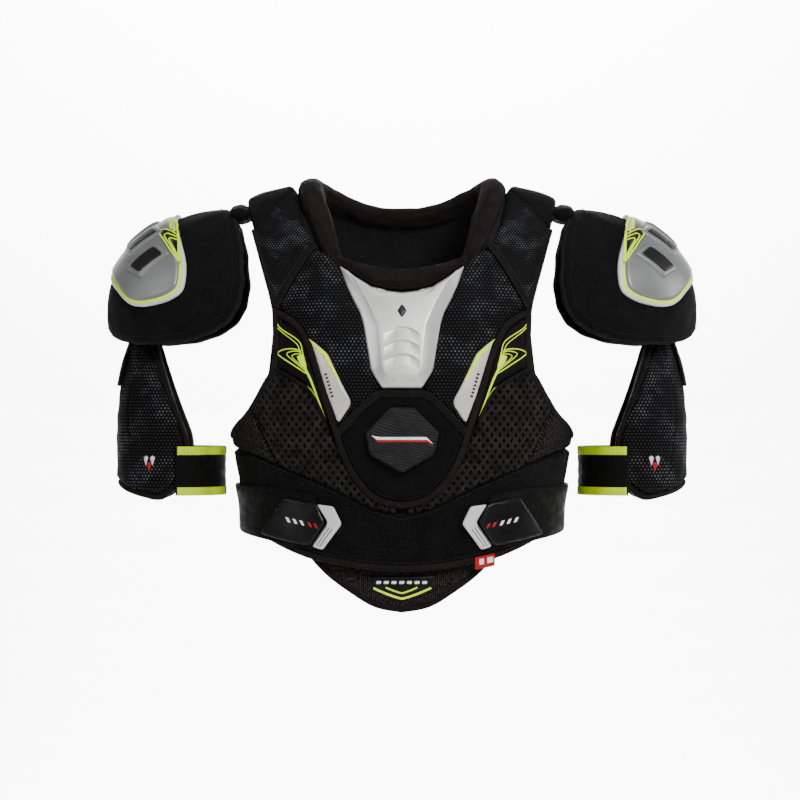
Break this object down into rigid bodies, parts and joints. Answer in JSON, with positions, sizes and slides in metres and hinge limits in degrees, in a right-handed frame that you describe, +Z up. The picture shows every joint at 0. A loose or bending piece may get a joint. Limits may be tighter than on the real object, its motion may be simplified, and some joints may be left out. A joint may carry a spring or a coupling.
{
  "type": "ice hockey shoulder pads",
  "caption": "Padded ice hockey shoulder pads: vest with sternum plate, hinged shoulder caps, biceps guards, belly straps and a removable belly pad.",
  "frame": {"origin": "midway between the wearer's shoulders, at the height where the yokes rest on them", "axes": "+Z up the wearer's spine, -Y the way the wearer faces, +X towards the wearer's left side"},
  "size_m": [0.5774, 0.2568, 0.4217],
  "materials": {
    "foam": "black knit over laminated foam",
    "dot_print": "black knit with a raised grey dot print",
    "black_knit": "brushed black knit",
    "ribbed": "ribbed brownish black knit",
    "binding": "woven edge binding, double stitched",
    "silver": "silver film with a satin sheen",
    "dark_film": "dark grey film over foam",
    "spacer_mesh": "diamond spacer mesh",
    "loop": "brushed loop pile",
    "elastic": "woven elastic",
    "hard_plastic": "vacuum formed shell",
    "red_label": "woven label"
  },
  "bodies": {
    "back": {"back_core": "foam", "left_back_panel": "dot_print", "left_belly_elastic": "elastic", "left_cap_flap": "black_knit", "left_shoulder_arch": "black_knit", "lumbar_pad": "spacer_mesh", "nape_roll": "ribbed", "right_back_panel": "dot_print", "right_belly_elastic": "elastic", "right_cap_flap": "black_knit", "right_shoulder_arch": "black_knit", "spine_plate_lower": "silver", "spine_plate_middle": "silver", "spine_plate_upper": "silver"},
    "extension": {"extension_badge": "dark_film", "extension_pad": "spacer_mesh"},
    "front": {"front_collar": "ribbed", "front_core": "foam", "hem_binding": "binding", "left_armhole_binding": "binding", "left_chest_panel": "dot_print", "left_front_neck_roll": "ribbed", "left_graphic_panel": "dark_film", "left_mesh_panel": "spacer_mesh", "left_wedge_insert": "silver", "left_yoke_panel": "dot_print", "loop_band": "loop", "right_armhole_binding": "binding", "right_chest_panel": "dot_print", "right_front_neck_roll": "ribbed", "right_graphic_panel": "dark_film", "right_mesh_panel": "spacer_mesh", "right_wedge_insert": "silver", "right_yoke_panel": "dot_print", "shield_badge": "dark_film", "shield_border_binding": "binding", "shield_panel": "black_knit", "shield_top_binding": "binding", "sternum_plate": "silver", "woven_tag": "red_label"},
    "left_adjuster": {"left_adjuster_strap": "elastic"},
    "left_biceps": {"left_arm_strap": "elastic", "left_biceps_pad": "dot_print"},
    "left_arm_tab": {"left_arm_strap_tab": "elastic"},
    "left_cap": {"left_cap_insert": "silver", "left_cap_pad": "black_knit", "left_cap_shell": "hard_plastic"},
    "left_belly_tab": {"left_strap_chevron": "silver", "left_strap_end": "elastic", "left_strap_patch": "dark_film"},
    "right_adjuster": {"right_adjuster_strap": "elastic"},
    "right_biceps": {"right_arm_strap": "elastic", "right_biceps_pad": "dot_print"},
    "right_arm_tab": {"right_arm_strap_tab": "elastic"},
    "right_cap": {"right_cap_insert": "silver", "right_cap_pad": "black_knit", "right_cap_shell": "hard_plastic"},
    "right_belly_tab": {"right_strap_chevron": "silver", "right_strap_end": "elastic", "right_strap_patch": "dark_film"}
  },
  "joints": [
    {"name": "front_fold", "type": "hinge", "parent": "back", "child": "front", "pos_m": [0, -0.012, -0.01], "axis": [1, 0, 0], "range_deg": [0, 8]},
    {"name": "extension_slide", "type": "slide", "parent": "front", "child": "extension", "axis": [0, 0, -1], "range_m": [0, 0.03]},
    {"name": "left_belly_strap_open", "type": "hinge", "parent": "back", "child": "left_belly_tab", "pos_m": [0.13712, -0.0789, -0.29513], "axis": [0, 0, 1], "range_deg": [0, 50]},
    {"name": "right_belly_strap_open", "type": "hinge", "parent": "back", "child": "right_belly_tab", "pos_m": [-0.13712, -0.0789, -0.29513], "axis": [0, 0, -1], "range_deg": [0, 50]},
    {"name": "left_cap_raise", "type": "hinge", "parent": "back", "child": "left_cap", "pos_m": [0.1515, 0, 0], "axis": [0, -1, 0], "range_deg": [0, 60]},
    {"name": "right_cap_raise", "type": "hinge", "parent": "back", "child": "right_cap", "pos_m": [-0.1515, 0, 0], "axis": [0, 1, 0], "range_deg": [0, 60]},
    {"name": "left_guard_swing", "type": "hinge", "parent": "left_cap", "child": "left_adjuster", "pos_m": [0.22, 0.004, -0.108], "axis": [1, 0, 0], "range_deg": [-12, 12]},
    {"name": "right_guard_swing", "type": "hinge", "parent": "right_cap", "child": "right_adjuster", "pos_m": [-0.22, 0.004, -0.108], "axis": [1, 0, 0], "range_deg": [-12, 12]},
    {"name": "left_guard_slide", "type": "slide", "parent": "left_adjuster", "child": "left_biceps", "axis": [0, 0, -1], "range_m": [0, 0.025]},
    {"name": "right_guard_slide", "type": "slide", "parent": "right_adjuster", "child": "right_biceps", "axis": [0, 0, -1], "range_m": [0, 0.025]},
    {"name": "left_arm_strap_open", "type": "hinge", "parent": "left_biceps", "child": "left_arm_tab", "pos_m": [0.18777, -0.03891, -0.254], "axis": [0, 0, -1], "range_deg": [0, 40]},
    {"name": "right_arm_strap_open", "type": "hinge", "parent": "right_biceps", "child": "right_arm_tab", "pos_m": [-0.18777, -0.03891, -0.254], "axis": [0, 0, 1], "range_deg": [0, 40]}
  ]
}
